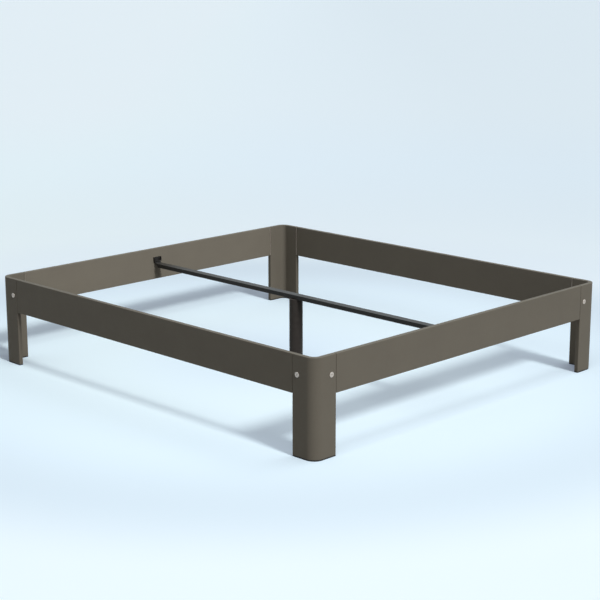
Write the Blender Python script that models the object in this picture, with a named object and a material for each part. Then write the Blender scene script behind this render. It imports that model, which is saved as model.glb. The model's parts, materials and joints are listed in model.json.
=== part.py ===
"""Double bed frame: four bent corner legs, four rails, and a steel beam on a middle leg.

Metres, +Z up. The origin is on the floor, under the middle of the bed. X runs across the
bed and Y runs along it, with the front at -Y. Either end can be the head.
"""

import math

import bmesh
import bpy
from mathutils import Matrix


# The whole bed
BED_WIDTH = 1.88
BED_LENGTH = 2.08
FRAME_HEIGHT = 0.418

# Gaps between pieces, and how far a cutter runs past the face that it opens
FIT = 0.0003
SEAM_GAP = 0.0012
CUT_OVERRUN = 0.002

# Flat panels that the legs and rails are made of
PANEL_THICKNESS = 0.020
EDGE_EASING = 0.0025
RAIL_HEIGHT = 0.160

# Corner legs, bent to an L in plan
LEG_FLANGE = 0.121
CORNER_RADIUS = 0.045

# Pads glued under the corner legs
PAD_THICKNESS = 0.004
PAD_INSET = 0.0005

# Steel tongues that join a rail to a leg
TONGUE_THICKNESS = 0.005
TONGUE_HEIGHT = 0.070
TONGUE_IN_LEG = 0.046
TONGUE_IN_RAIL = 0.060

# Flat-head socket bolts that clamp the tongues
BOLT_INSET = 0.027
BOLT_HEAD_RADIUS = 0.011
BOLT_HEAD_THICKNESS = 0.0020
BOLT_HEAD_CHAMFER = 0.0008
BOLT_SHANK_RADIUS = 0.004
BOLT_TIP_CHAMFER = 0.0008
BOLT_SOCKET_ACROSS_FLATS = 0.005
BOLT_SOCKET_DEPTH = 0.0038

# Centre beam, a rectangular steel tube lying flat
BEAM_WIDTH = 0.040
BEAM_HEIGHT = 0.020
BEAM_WALL = 0.0015
BEAM_CORNER_RADIUS = 0.002
BEAM_DROP = 0.075
BEAM_END_GAP = 0.033

# Steel hangers for the beam's ends, measured inwards from the rail and up from the beam's top
HANGER_PLATE = 0.003
HANGER_HEAD_WIDTH = 0.046
HANGER_HEAD_RISE = 0.0305
HANGER_HEAD_DEPTH = 0.0110
HANGER_HEAD_UNDERSIDE = 0.0080
HANGER_NECK_RISE = 0.0040
HANGER_NECK_DEPTH = 0.0100
HANGER_ARM_START = 0.0135
HANGER_TONGUE_LENGTH = 0.045

# Wood screws that hold the hangers on the end rails
SCREW_SPACING = 0.024
SCREW_RISE = 0.019
SCREW_HEAD_RADIUS = 0.00425
SCREW_HEAD_THICKNESS = 0.0024
SCREW_HEAD_CHAMFER = 0.0008
SCREW_SHANK_RADIUS = 0.0021
SCREW_LENGTH = 0.016
SCREW_TIP_LENGTH = 0.004
SCREW_CROSS_LENGTH = 0.0050
SCREW_CROSS_WIDTH = 0.0011
SCREW_CROSS_DEPTH = 0.0013

# Middle leg, a round steel tube closed at the top
MIDDLE_LEG_RADIUS = 0.032
MIDDLE_LEG_WALL = 0.002
MIDDLE_LEG_TOP_PLATE = 0.005
MIDDLE_LEG_EASING = 0.0008

# Threaded stud and weld nut that hold the middle leg on the beam
STUD_RADIUS = 0.004
STUD_BELOW_PLATE = 0.006
STUD_ABOVE_NUT = 0.003
STUD_CHAMFER = 0.0008
NUT_ACROSS_FLATS = 0.013
NUT_HEIGHT = 0.0065

# Levelling foot of the middle leg, and the plug that it screws into
PLUG_OFF_FLOOR = 0.024
PLUG_RIM_THICKNESS = 0.003
PLUG_BODY_HEIGHT = 0.020
FOOT_RADIUS = 0.0225
FOOT_THICKNESS = 0.008
FOOT_CHAMFER = 0.0020
SPINDLE_RADIUS = 0.005
SPINDLE_LENGTH = 0.056
SPINDLE_SEAT_DEPTH = 0.0045
SPINDLE_CHAMFER = 0.0010

# How finely round shapes are cut up
CORNER_STEPS = 10
TUBE_CORNER_STEPS = 3
TURN_SIDES = 40
SMALL_SIDES = 24
EASING_SEGMENTS = 2
SMOOTH_ANGLE = math.radians(30)

# Places worked out from the sizes above
RAIL_MIDDLE = FRAME_HEIGHT - RAIL_HEIGHT / 2
BEAM_TOP = FRAME_HEIGHT - BEAM_DROP
BEAM_BOTTOM = BEAM_TOP - BEAM_HEIGHT
BEAM_LENGTH = BED_LENGTH - 2 * (PANEL_THICKNESS + BEAM_END_GAP)
HANGER_ARM_WIDTH = BEAM_WIDTH - 2 * (BEAM_WALL + FIT)
MIDDLE_LEG_TOP = BEAM_BOTTOM - FIT
NUT_BOTTOM = BEAM_BOTTOM + BEAM_WALL + FIT
SPINDLE_BOTTOM = FOOT_THICKNESS - SPINDLE_SEAT_DEPTH + FIT

# The corners in turn round the bed: name, side of the bed in X and in Y, and the two rails
# that meet there, of which the first lies along the corner's own X
CORNERS = [
    ("front_left", -1, -1, ("front_rail", "left_rail")),
    ("front_right", 1, -1, ("right_rail", "front_rail")),
    ("rear_right", 1, 1, ("rear_rail", "right_rail")),
    ("rear_left", -1, 1, ("left_rail", "rear_rail")),
]


def clear_scene():
    """Remove whatever the file already holds."""
    for old in list(bpy.data.objects):
        bpy.data.objects.remove(old, do_unlink=True)


def make_material(name, colour, roughness, metallic):
    """A surface of one colour."""
    material = bpy.data.materials.new(name)
    material.use_nodes = True
    shader = material.node_tree.nodes["Principled BSDF"]
    shader.inputs["Base Color"].default_value = (*colour, 1.0)
    shader.inputs["Roughness"].default_value = roughness
    shader.inputs["Metallic"].default_value = metallic
    return material


def taupe_lacquer():
    return make_material("taupe_lacquer", (0.146, 0.127, 0.105), 0.55, 0.0)


def bright_steel():
    return make_material("bright_steel", (0.62, 0.61, 0.58), 0.32, 1.0)


def plain_steel():
    return make_material("plain_steel", (0.45, 0.45, 0.45), 0.45, 1.0)


def black_powder_coat():
    return make_material("black_powder_coat", (0.022, 0.021, 0.020), 0.48, 0.0)


def black_plastic():
    return make_material("black_plastic", (0.015, 0.015, 0.015), 0.60, 0.0)


def arc(centre_x, centre_y, radius, start, end, steps):
    """Points on an arc with both of its ends, the angles in degrees."""
    points = []
    for step in range(steps + 1):
        angle = math.radians(start + (end - start) * step / steps)
        points.append((centre_x + radius * math.cos(angle), centre_y + radius * math.sin(angle)))
    return points


def finish_mesh(name, grid):
    """Turn a bmesh into a mesh whose faces point outwards."""
    bmesh.ops.recalc_face_normals(grid, faces=grid.faces)
    mesh = bpy.data.meshes.new(name)
    grid.to_mesh(mesh)
    grid.free()
    return mesh


def prism(name, outline, low, high):
    """An outline in X and Y, raised from z = low to z = high."""
    grid = bmesh.new()
    base = grid.faces.new([grid.verts.new((x, y, low)) for x, y in outline])
    raised = bmesh.ops.extrude_face_region(grid, geom=[base])
    top = [item for item in raised["geom"] if isinstance(item, bmesh.types.BMVert)]
    bmesh.ops.translate(grid, vec=(0, 0, high - low), verts=top)
    return finish_mesh(name, grid)


def box(name, low, high):
    """A box between its lowest and its highest corner."""
    outline = [(low[0], low[1]), (high[0], low[1]), (high[0], high[1]), (low[0], high[1])]
    return prism(name, outline, low[2], high[2])


def turned(name, profile, sides=TURN_SIDES):
    """A closed outline of (radius, height) points, turned about Z. Radius 0 is on the axis."""
    grid = bmesh.new()
    rings = []
    for radius, height in profile:
        ring = []
        for side in range(sides if radius else 1):
            angle = 2 * math.pi * side / sides
            ring.append(grid.verts.new((radius * math.cos(angle), radius * math.sin(angle), height)))
        rings.append(ring)
    for index, ring in enumerate(rings):
        following = rings[(index + 1) % len(rings)]
        if len(ring) == 1 and len(following) == 1:
            continue
        for side in range(sides):
            beside = (side + 1) % sides
            corners = [ring[side % len(ring)], ring[beside % len(ring)]]
            corners += [following[beside % len(following)], following[side % len(following)]]
            grid.faces.new(list(dict.fromkeys(corners)))
    return finish_mesh(name, grid)


def rod(name, radius, low, high):
    """A plain round rod along Z."""
    return turned(name, [(0, low), (radius, low), (radius, high), (0, high)], SMALL_SIDES)


def hexagon(across_flats):
    """The six points of a hexagon, given the distance between its flats."""
    to_point = across_flats / 2 / math.cos(math.pi / 6)
    angles = [math.pi * side / 3 for side in range(6)]
    return [(to_point * math.cos(angle), to_point * math.sin(angle)) for angle in angles]


def placed(mesh, degrees, axis, move):
    """The mesh turned about an axis, then moved."""
    mesh.transform(Matrix.Translation(move) @ Matrix.Rotation(math.radians(degrees), 4, axis))
    return mesh


def carved(name, blank, cutters, easing=0):
    """The blank with its edges eased and each cutter taken out of it."""
    block = bpy.data.objects.new(name, blank)
    bpy.context.scene.collection.objects.link(block)
    if easing:
        bevel = block.modifiers.new("eased_edges", "BEVEL")
        bevel.width = easing
        bevel.segments = EASING_SEGMENTS
        bevel.limit_method = "ANGLE"
        bevel.angle_limit = SMOOTH_ANGLE
    tools = []
    for cutter in cutters:
        tool = bpy.data.objects.new(cutter.name, cutter)
        bpy.context.scene.collection.objects.link(tool)
        tools.append(tool)
        cut = block.modifiers.new(cutter.name, "BOOLEAN")
        cut.operation = "DIFFERENCE"
        cut.solver = "EXACT"
        cut.object = tool
    depsgraph = bpy.context.evaluated_depsgraph_get()
    mesh = bpy.data.meshes.new_from_object(block.evaluated_get(depsgraph))
    mesh.name = name
    for used in [block, *tools]:
        bpy.data.objects.remove(used, do_unlink=True)
    return mesh


def corner_outline(inset):
    """The L of a corner leg in plan, drawn smaller all round by the inset."""
    near = inset
    far = PANEL_THICKNESS - inset
    tip = LEG_FLANGE - inset
    centre = CORNER_RADIUS
    inner_radius = CORNER_RADIUS - PANEL_THICKNESS + inset
    outline = [(tip, near), (tip, far)]
    outline += arc(centre, centre, inner_radius, 270, 180, CORNER_STEPS)
    outline += [(far, tip), (near, tip)]
    outline += arc(centre, centre, CORNER_RADIUS - inset, 180, 270, CORNER_STEPS)
    return outline


def tongue_slot(panel_end, depth):
    """A cutter for a slot in the middle of a panel, from its end at x = panel_end inwards."""
    half_width = TONGUE_THICKNESS / 2 + FIT
    half_height = TONGUE_HEIGHT / 2 + FIT
    middle = PANEL_THICKNESS / 2
    low = (panel_end - depth - FIT, middle - half_width, -half_height)
    high = (panel_end + CUT_OVERRUN, middle + half_width, half_height)
    return box("tongue_slot", low, high)


def leg_bolt_hole():
    """A cutter for the bolt's way through a flange's outer wall, into its slot."""
    hole = rod("leg_bolt_hole", BOLT_SHANK_RADIUS + FIT, -PANEL_THICKNESS / 2, CUT_OVERRUN)
    return placed(hole, 90, "X", (LEG_FLANGE - BOLT_INSET, 0, 0))


def on_other_flange(mesh):
    """Swap X and Y by turning half round the line between the two flanges."""
    mesh.transform(Matrix.Rotation(math.pi, 4, (1, 1, 0)))
    return mesh


def leg_mesh():
    """A corner leg with its outer corner on the Z axis and its flanges along +X and +Y."""
    blank = prism("corner_leg", corner_outline(0), PAD_THICKNESS + FIT, FRAME_HEIGHT)
    cutters = [
        tongue_slot(LEG_FLANGE, TONGUE_IN_LEG),
        leg_bolt_hole(),
        on_other_flange(tongue_slot(LEG_FLANGE, TONGUE_IN_LEG)),
        on_other_flange(leg_bolt_hole()),
    ]
    for cutter in cutters:
        cutter.transform(Matrix.Translation((0, 0, RAIL_MIDDLE)))
    return carved("corner_leg", blank, cutters, EDGE_EASING)


def pad_mesh():
    """The thin pad under a corner leg, in the leg's own frame."""
    return prism("leg_pad", corner_outline(PAD_INSET), 0, PAD_THICKNESS)


def tongue_mesh():
    """A steel tongue along +X, with its bolt hole at the origin."""
    half_width = TONGUE_THICKNESS / 2
    half_height = TONGUE_HEIGHT / 2
    low = (BOLT_INSET - TONGUE_IN_LEG, -half_width, -half_height)
    high = (BOLT_INSET + SEAM_GAP + TONGUE_IN_RAIL, half_width, half_height)
    hole = rod("tongue_hole", BOLT_SHANK_RADIUS + FIT, -TONGUE_THICKNESS, TONGUE_THICKNESS)
    return carved("rail_tongue", box("rail_tongue", low, high), [placed(hole, 90, "X", (0, 0, 0))])


def bolt_mesh():
    """A bolt whose head stands on z = 0, with its shank down to the tongue's far face."""
    tip = -(PANEL_THICKNESS + TONGUE_THICKNESS) / 2
    top = BOLT_HEAD_THICKNESS
    profile = [
        (0, tip),
        (BOLT_SHANK_RADIUS - BOLT_TIP_CHAMFER, tip),
        (BOLT_SHANK_RADIUS, tip + BOLT_TIP_CHAMFER),
        (BOLT_SHANK_RADIUS, 0),
        (BOLT_HEAD_RADIUS, 0),
        (BOLT_HEAD_RADIUS, top - BOLT_HEAD_CHAMFER),
        (BOLT_HEAD_RADIUS - BOLT_HEAD_CHAMFER, top),
        (0, top),
    ]
    blank = turned("connector_bolt", profile)
    outline = hexagon(BOLT_SOCKET_ACROSS_FLATS)
    socket = prism("hex_socket", outline, top - BOLT_SOCKET_DEPTH, top + CUT_OVERRUN)
    return carved("connector_bolt", blank, [socket])


def screw_mesh():
    """A wood screw whose head stands on z = 0, with a cross cut in it."""
    top = SCREW_HEAD_THICKNESS
    profile = [
        (0, -SCREW_LENGTH),
        (SCREW_SHANK_RADIUS, SCREW_TIP_LENGTH - SCREW_LENGTH),
        (SCREW_SHANK_RADIUS, 0),
        (SCREW_HEAD_RADIUS, 0),
        (SCREW_HEAD_RADIUS, top - SCREW_HEAD_CHAMFER),
        (SCREW_HEAD_RADIUS - SCREW_HEAD_CHAMFER, top),
        (0, top),
    ]
    blank = turned("hanger_screw", profile, SMALL_SIDES)
    long = SCREW_CROSS_LENGTH / 2
    short = SCREW_CROSS_WIDTH / 2
    floor = top - SCREW_CROSS_DEPTH
    over = top + CUT_OVERRUN
    along = box("cross_along", (-long, -short, floor), (long, short, over))
    across = box("cross_across", (-short, -long, floor), (short, long, over))
    return carved("hanger_screw", blank, [along, across])


def rail_mesh(name, length, screw_places=()):
    """A rail along X, its outer face on y = 0 and its middle at the origin.

    Each screw place is the (x, z) of a blind hole in the inner face.
    """
    half_length = length / 2
    half_height = RAIL_HEIGHT / 2
    low = (-half_length, 0, -half_height)
    high = (half_length, PANEL_THICKNESS, half_height)
    near_slot = tongue_slot(half_length, TONGUE_IN_RAIL)
    far_slot = tongue_slot(half_length, TONGUE_IN_RAIL)
    cutters = [near_slot, placed(far_slot, 180, "Z", (0, PANEL_THICKNESS, 0))]
    for x, z in screw_places:
        hole = rod("screw_hole", SCREW_SHANK_RADIUS + FIT, HANGER_PLATE - SCREW_LENGTH, CUT_OVERRUN)
        cutters.append(placed(hole, -90, "X", (x, PANEL_THICKNESS, z)))
    return carved(name, box(name, low, high), cutters, EDGE_EASING)


def beam_mesh():
    """The centre beam along Z, with its width along X and the stud's hole in its -Y wall."""
    x = BEAM_WIDTH / 2
    y = BEAM_HEIGHT / 2
    end = BEAM_LENGTH / 2
    radius = BEAM_CORNER_RADIUS
    outline = arc(x - radius, y - radius, radius, 0, 90, TUBE_CORNER_STEPS)
    outline += arc(radius - x, y - radius, radius, 90, 180, TUBE_CORNER_STEPS)
    outline += arc(radius - x, radius - y, radius, 180, 270, TUBE_CORNER_STEPS)
    outline += arc(x - radius, radius - y, radius, 270, 360, TUBE_CORNER_STEPS)
    inside_x = x - BEAM_WALL
    inside_y = y - BEAM_WALL
    past_end = end + CUT_OVERRUN
    bore = box("beam_bore", (-inside_x, -inside_y, -past_end), (inside_x, inside_y, past_end))
    stud_hole = rod("stud_hole", STUD_RADIUS + FIT, 0, BEAM_HEIGHT)
    cutters = [bore, placed(stud_hole, 90, "X", (0, 0, 0))]
    return carved("centre_beam", prism("centre_beam", outline, -end, end), cutters)


def hanger_cutters(past_tongue):
    """Cutters for the head's tray, the fork in the tongue, and what is beside the arm."""
    half_head = HANGER_HEAD_WIDTH / 2
    half_arm = HANGER_ARM_WIDTH / 2
    half_tray = half_head - HANGER_PLATE
    half_fork = half_arm - HANGER_PLATE
    below_arm = -BEAM_HEIGHT - CUT_OVERRUN
    tray_low = (FIT + HANGER_PLATE, HANGER_HEAD_UNDERSIDE + HANGER_PLATE, -half_tray)
    tray_high = (HANGER_HEAD_DEPTH + CUT_OVERRUN, HANGER_HEAD_RISE + CUT_OVERRUN, half_tray)
    fork_low = (BEAM_END_GAP + HANGER_PLATE, below_arm, -half_fork)
    fork_high = (past_tongue, CUT_OVERRUN, half_fork)
    cutters = [box("hanger_tray", tray_low, tray_high), box("tongue_fork", fork_low, fork_high)]
    for near, far in ((-half_head - CUT_OVERRUN, -half_arm), (half_arm, half_head + CUT_OVERRUN)):
        low = (-CUT_OVERRUN, below_arm, near)
        cutters.append(box("beside_arm", low, (past_tongue, HANGER_HEAD_UNDERSIDE, far)))
    return cutters


def hanger_mesh():
    """A hanger seen from the side in X and Y, with its width along Z.

    X runs inwards from the rail's face and y = 0 is the beam's top. The head is a shallow tray
    that is screwed to the rail, and the narrower arm under it ends in a forked tongue that
    enters the tube. The step behind the tongue keeps the tube from sliding.
    """
    arm_end = BEAM_END_GAP - FIT
    tongue_end = BEAM_END_GAP + HANGER_TONGUE_LENGTH
    tongue_top = -BEAM_WALL - FIT
    tongue_bottom = BEAM_WALL + FIT - BEAM_HEIGHT
    side = [
        (FIT, HANGER_HEAD_RISE),
        (FIT, HANGER_HEAD_UNDERSIDE),
        (arm_end, -BEAM_HEIGHT),
        (arm_end, tongue_bottom),
        (tongue_end, tongue_bottom),
        (tongue_end, tongue_top),
        (arm_end, tongue_top),
        (arm_end, 0),
        (HANGER_ARM_START, 0),
        (HANGER_NECK_DEPTH, HANGER_NECK_RISE),
        (HANGER_HEAD_DEPTH, HANGER_HEAD_UNDERSIDE),
        (HANGER_HEAD_DEPTH, HANGER_HEAD_RISE),
    ]
    half_head = HANGER_HEAD_WIDTH / 2
    blank = prism("beam_hanger", side, -half_head, half_head)
    cutters = hanger_cutters(tongue_end + CUT_OVERRUN)
    for way in (-1, 1):
        hole = rod("hanger_screw_hole", SCREW_SHANK_RADIUS + FIT, 0, HANGER_HEAD_DEPTH)
        cutters.append(placed(hole, 90, "Y", (-CUT_OVERRUN, SCREW_RISE, way * SCREW_SPACING / 2)))
    return carved("beam_hanger", blank, cutters)


def middle_leg_mesh():
    """The middle leg's tube with its closed top, through which the stud passes."""
    outer = MIDDLE_LEG_RADIUS
    inner = MIDDLE_LEG_RADIUS - MIDDLE_LEG_WALL
    hole = STUD_RADIUS + FIT
    bottom = PLUG_OFF_FLOOR + PLUG_RIM_THICKNESS + FIT
    profile = [
        (outer, bottom),
        (outer, MIDDLE_LEG_TOP - MIDDLE_LEG_EASING),
        (outer - MIDDLE_LEG_EASING, MIDDLE_LEG_TOP),
        (hole, MIDDLE_LEG_TOP),
        (hole, MIDDLE_LEG_TOP - MIDDLE_LEG_TOP_PLATE),
        (inner, MIDDLE_LEG_TOP - MIDDLE_LEG_TOP_PLATE),
        (inner, bottom),
    ]
    return turned("middle_leg_tube", profile)


def stud_mesh():
    """The stud from below the leg's top plate to above the nut in the beam."""
    bottom = MIDDLE_LEG_TOP - MIDDLE_LEG_TOP_PLATE - STUD_BELOW_PLATE
    top = NUT_BOTTOM + NUT_HEIGHT + STUD_ABOVE_NUT
    profile = [
        (0, bottom),
        (STUD_RADIUS - STUD_CHAMFER, bottom),
        (STUD_RADIUS, bottom + STUD_CHAMFER),
        (STUD_RADIUS, top - STUD_CHAMFER),
        (STUD_RADIUS - STUD_CHAMFER, top),
        (0, top),
    ]
    return turned("middle_leg_stud", profile, SMALL_SIDES)


def nut_mesh():
    """The nut that is welded inside the beam."""
    blank = prism("beam_nut", hexagon(NUT_ACROSS_FLATS), NUT_BOTTOM, NUT_BOTTOM + NUT_HEIGHT)
    return carved("beam_nut", blank, [rod("nut_hole", STUD_RADIUS + FIT, 0, FRAME_HEIGHT)])


def plug_mesh():
    """The plug pressed into the bottom of the middle leg."""
    rim = MIDDLE_LEG_RADIUS
    body = MIDDLE_LEG_RADIUS - MIDDLE_LEG_WALL - FIT
    hole = SPINDLE_RADIUS + FIT
    rim_top = PLUG_OFF_FLOOR + PLUG_RIM_THICKNESS
    profile = [
        (hole, PLUG_OFF_FLOOR),
        (rim, PLUG_OFF_FLOOR),
        (rim, rim_top),
        (body, rim_top),
        (body, rim_top + PLUG_BODY_HEIGHT),
        (hole, rim_top + PLUG_BODY_HEIGHT),
    ]
    return turned("middle_leg_plug", profile)


def foot_mesh():
    """The levelling foot, with the seat for its spindle."""
    seat = SPINDLE_RADIUS + FIT
    seat_bottom = FOOT_THICKNESS - SPINDLE_SEAT_DEPTH
    profile = [
        (0, 0),
        (FOOT_RADIUS, 0),
        (FOOT_RADIUS, FOOT_THICKNESS - FOOT_CHAMFER),
        (FOOT_RADIUS - FOOT_CHAMFER, FOOT_THICKNESS),
        (seat, FOOT_THICKNESS),
        (seat, seat_bottom),
        (0, seat_bottom),
    ]
    return turned("levelling_foot", profile)


def spindle_mesh():
    """The threaded spindle that the levelling foot turns on."""
    top = SPINDLE_BOTTOM + SPINDLE_LENGTH
    profile = [
        (0, SPINDLE_BOTTOM),
        (SPINDLE_RADIUS, SPINDLE_BOTTOM),
        (SPINDLE_RADIUS, top - SPINDLE_CHAMFER),
        (SPINDLE_RADIUS - SPINDLE_CHAMFER, top),
        (0, top),
    ]
    return turned("foot_spindle", profile, SMALL_SIDES)


def add_empty(name, location, turn, parent=None):
    """A place that pieces hang on, turned about Z by so many degrees."""
    empty = bpy.data.objects.new(name, None)
    bpy.context.scene.collection.objects.link(empty)
    empty.location = location
    empty.rotation_euler = (0, 0, math.radians(turn))
    empty.parent = parent
    return empty


def add_piece(name, mesh, material, parent, location=(0, 0, 0), rotation=(0, 0, 0)):
    """One piece of the bed, with its rotation in degrees."""
    if not mesh.materials:
        mesh.materials.append(material)
        mesh.shade_smooth()
        mesh.set_sharp_from_angle(angle=SMOOTH_ANGLE)
    piece = bpy.data.objects.new(name, mesh)
    bpy.context.scene.collection.objects.link(piece)
    piece.parent = parent
    piece.location = location
    piece.rotation_euler = [math.radians(degrees) for degrees in rotation]


def add_corners(bed, lacquer, steel, bright, plastic):
    """The four corner legs, each with its pad, two tongues and two bolts."""
    leg = leg_mesh()
    pad = pad_mesh()
    tongue = tongue_mesh()
    bolt = bolt_mesh()
    along = LEG_FLANGE - BOLT_INSET
    middle = PANEL_THICKNESS / 2
    first_tongue = (along, middle, RAIL_MIDDLE)
    second_tongue = (middle, along, RAIL_MIDDLE)
    first_bolt = (along, -FIT, RAIL_MIDDLE)
    second_bolt = (-FIT, along, RAIL_MIDDLE)
    for index, (name, side_x, side_y, rails) in enumerate(CORNERS):
        place = (side_x * BED_WIDTH / 2, side_y * BED_LENGTH / 2, 0)
        corner = add_empty(f"corner_{name}", place, 90 * index, bed)
        first, second = rails
        add_piece(f"leg_{name}", leg, lacquer, corner)
        add_piece(f"leg_pad_{name}", pad, plastic, corner)
        add_piece(f"tongue_{name}_in_{first}", tongue, steel, corner, first_tongue)
        add_piece(f"tongue_{name}_in_{second}", tongue, steel, corner, second_tongue, (0, 0, 90))
        add_piece(f"bolt_{name}_by_{first}", bolt, bright, corner, first_bolt, (90, 0, 0))
        add_piece(f"bolt_{name}_by_{second}", bolt, bright, corner, second_bolt, (0, -90, 0))


def add_rails(bed, lacquer):
    """The end rails, with holes for the hangers' screws, and the plain side rails."""
    screw_height = BEAM_TOP + SCREW_RISE - RAIL_MIDDLE
    screw_places = [(way * SCREW_SPACING / 2, screw_height) for way in (-1, 1)]
    between_flanges = 2 * (LEG_FLANGE + SEAM_GAP)
    end_rail = rail_mesh("end_rail", BED_WIDTH - between_flanges, screw_places)
    side_rail = rail_mesh("side_rail", BED_LENGTH - between_flanges)
    half_width = BED_WIDTH / 2
    half_length = BED_LENGTH / 2
    add_piece("front_rail", end_rail, lacquer, bed, (0, -half_length, RAIL_MIDDLE))
    add_piece("right_rail", side_rail, lacquer, bed, (half_width, 0, RAIL_MIDDLE), (0, 0, 90))
    add_piece("rear_rail", end_rail, lacquer, bed, (0, half_length, RAIL_MIDDLE), (0, 0, 180))
    add_piece("left_rail", side_rail, lacquer, bed, (-half_width, 0, RAIL_MIDDLE), (0, 0, 270))


def add_beam(bed, black):
    """The centre beam and, at each end, its hanger and the hanger's two screws."""
    beam_middle = BEAM_TOP - BEAM_HEIGHT / 2
    add_piece("centre_beam", beam_mesh(), black, bed, (0, 0, beam_middle), (90, 0, 0))
    hanger = hanger_mesh()
    screw = screw_mesh()
    rail_face = BED_LENGTH / 2 - PANEL_THICKNESS
    screw_seat = HANGER_PLATE + 2 * FIT
    for name, way, turn in (("front", -1, 0), ("rear", 1, 180)):
        end = add_empty(f"beam_end_{name}", (0, way * rail_face, BEAM_TOP), turn, bed)
        add_piece(f"beam_hanger_{name}", hanger, black, end, (0, 0, 0), (90, 0, 90))
        for number, shift in enumerate((-SCREW_SPACING / 2, SCREW_SPACING / 2), start=1):
            place = (shift, screw_seat, SCREW_RISE)
            add_piece(f"hanger_screw_{name}_{number}", screw, black, end, place, (-90, 0, 0))


def add_middle_leg(bed, black, steel, plastic):
    """The middle leg, what fastens it to the beam, and the foot that levels it."""
    axis = add_empty("middle_leg_axis", (0, 0, 0), 0, bed)
    add_piece("middle_leg_tube", middle_leg_mesh(), black, axis)
    add_piece("middle_leg_stud", stud_mesh(), steel, axis)
    add_piece("beam_nut", nut_mesh(), steel, axis)
    add_piece("middle_leg_plug", plug_mesh(), plastic, axis)
    screw_axis = add_empty("levelling_axis", (0, 0, 0), 0, axis)
    add_piece("levelling_foot", foot_mesh(), plastic, screw_axis)
    add_piece("foot_spindle", spindle_mesh(), steel, screw_axis)


def build_bed():
    clear_scene()
    lacquer = taupe_lacquer()
    bright = bright_steel()
    steel = plain_steel()
    black = black_powder_coat()
    plastic = black_plastic()
    bed = add_empty("bed", (0, 0, 0), 0)
    add_corners(bed, lacquer, steel, bright, plastic)
    add_rails(bed, lacquer)
    add_beam(bed, black)
    add_middle_leg(bed, black, steel, plastic)


build_bed()
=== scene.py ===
# %% [markdown]
# # A double bed frame
# The bed is four flat boards between four corner legs, with a steel beam down the middle.
# Everything on it is smooth and straight, so a picture of it lives on three things: edges that
# are rounded just enough to catch the light, satin surfaces that aren't quite even, and soft
# shadows on a pale floor. We start from the measured solids, and give each one that shows a
# finer surface.

# %% Load the measured bed
import json
import math

import bpy
import numpy as np
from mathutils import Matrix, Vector
from mathutils.geometry import tessellate_polygon

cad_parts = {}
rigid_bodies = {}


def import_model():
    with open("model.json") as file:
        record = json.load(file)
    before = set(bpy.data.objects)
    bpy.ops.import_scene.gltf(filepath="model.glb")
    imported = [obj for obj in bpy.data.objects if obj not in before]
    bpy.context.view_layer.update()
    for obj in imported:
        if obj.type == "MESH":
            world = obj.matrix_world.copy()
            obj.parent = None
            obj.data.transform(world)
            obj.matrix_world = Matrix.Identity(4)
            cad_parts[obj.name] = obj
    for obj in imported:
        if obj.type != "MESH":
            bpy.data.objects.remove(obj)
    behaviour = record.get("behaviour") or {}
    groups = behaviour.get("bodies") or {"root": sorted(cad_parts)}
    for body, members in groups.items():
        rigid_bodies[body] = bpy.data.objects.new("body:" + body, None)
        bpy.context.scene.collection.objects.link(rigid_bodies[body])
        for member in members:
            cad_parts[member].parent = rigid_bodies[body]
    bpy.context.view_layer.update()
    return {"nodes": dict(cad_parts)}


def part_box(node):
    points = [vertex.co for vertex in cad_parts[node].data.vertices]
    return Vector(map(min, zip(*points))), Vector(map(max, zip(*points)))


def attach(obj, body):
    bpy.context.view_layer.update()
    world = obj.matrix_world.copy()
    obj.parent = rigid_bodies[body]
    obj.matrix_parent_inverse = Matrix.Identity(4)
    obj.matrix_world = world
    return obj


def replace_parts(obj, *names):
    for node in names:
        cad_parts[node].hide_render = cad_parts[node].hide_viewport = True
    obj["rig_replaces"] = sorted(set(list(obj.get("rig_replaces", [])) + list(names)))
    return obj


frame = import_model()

# %% [markdown]
# ## The camera
# The photograph was taken from about 7.2 m away, over one corner of the bed and slightly from
# above. A lens is long when its picture is made of nearly parallel lines: here it is 91 mm on a
# sensor 36 mm wide. We aim the camera with three turns: up from looking straight down, round
# the vertical, and a last hair's breadth of roll.

# %% Camera
CAMERA_PLACE = (-4.9117, -4.9161, 1.9814)
CAMERA_HEADING = math.radians(44.871)
CAMERA_DIP = math.radians(13.486)
CAMERA_ROLL = math.radians(-0.042)
LENS_LENGTH, SENSOR_WIDTH = 90.82, 36  # millimetres

scene_objects = bpy.context.scene.collection.objects
camera = bpy.data.objects.new("camera", bpy.data.cameras.new("camera"))
scene_objects.link(camera)
camera.data.lens = LENS_LENGTH
camera.data.sensor_width = SENSOR_WIDTH
camera.location = CAMERA_PLACE
camera.rotation_euler = (math.pi / 2 - CAMERA_DIP, 0, CAMERA_HEADING - math.pi / 2)
camera.rotation_euler.rotate_axis("Z", CAMERA_ROLL)
bpy.context.scene.camera = camera
print("the camera stands", round(camera.location.length, 2), "m from the middle of the bed")

# %% [markdown]
# ## Light
# The shadows tell where the light was. The broad shadow of the front rail lies a good step
# behind the rail, so the main lamp stood in front of the bed and about 40 degrees up. Near and
# far rails throw it equally far, so a sun lamp will do, and its angle sets how soft the edges
# are. A much fainter line of shadow right under the front rail, and hardly any beside the left
# one, comes from a long box of light that hung crosswise over the front of the bed. It is an
# area lamp, so its light fades towards the back. A very wide and soft sun straight above stands
# in for light from the ceiling, and the rest is even light from all round.

# %% Lamps
MAIN_LAMP_TOWARD = (-0.10, -1.17, 1.0)
MAIN_LAMP_SOFTNESS = math.radians(10)
MAIN_LAMP_STRENGTH = 2.24
MAIN_LAMP_COLOUR = (1.0, 0.985, 0.97)
LIGHT_BOX_PLACE = (-0.35, -1.51, 3.7)
LIGHT_BOX_LENGTH = 4.6
LIGHT_BOX_WIDTH = 1.23
LIGHT_BOX_STRENGTH = 45.0
CEILING_SOFTNESS = math.radians(80)
CEILING_STRENGTH = 0.17


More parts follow.
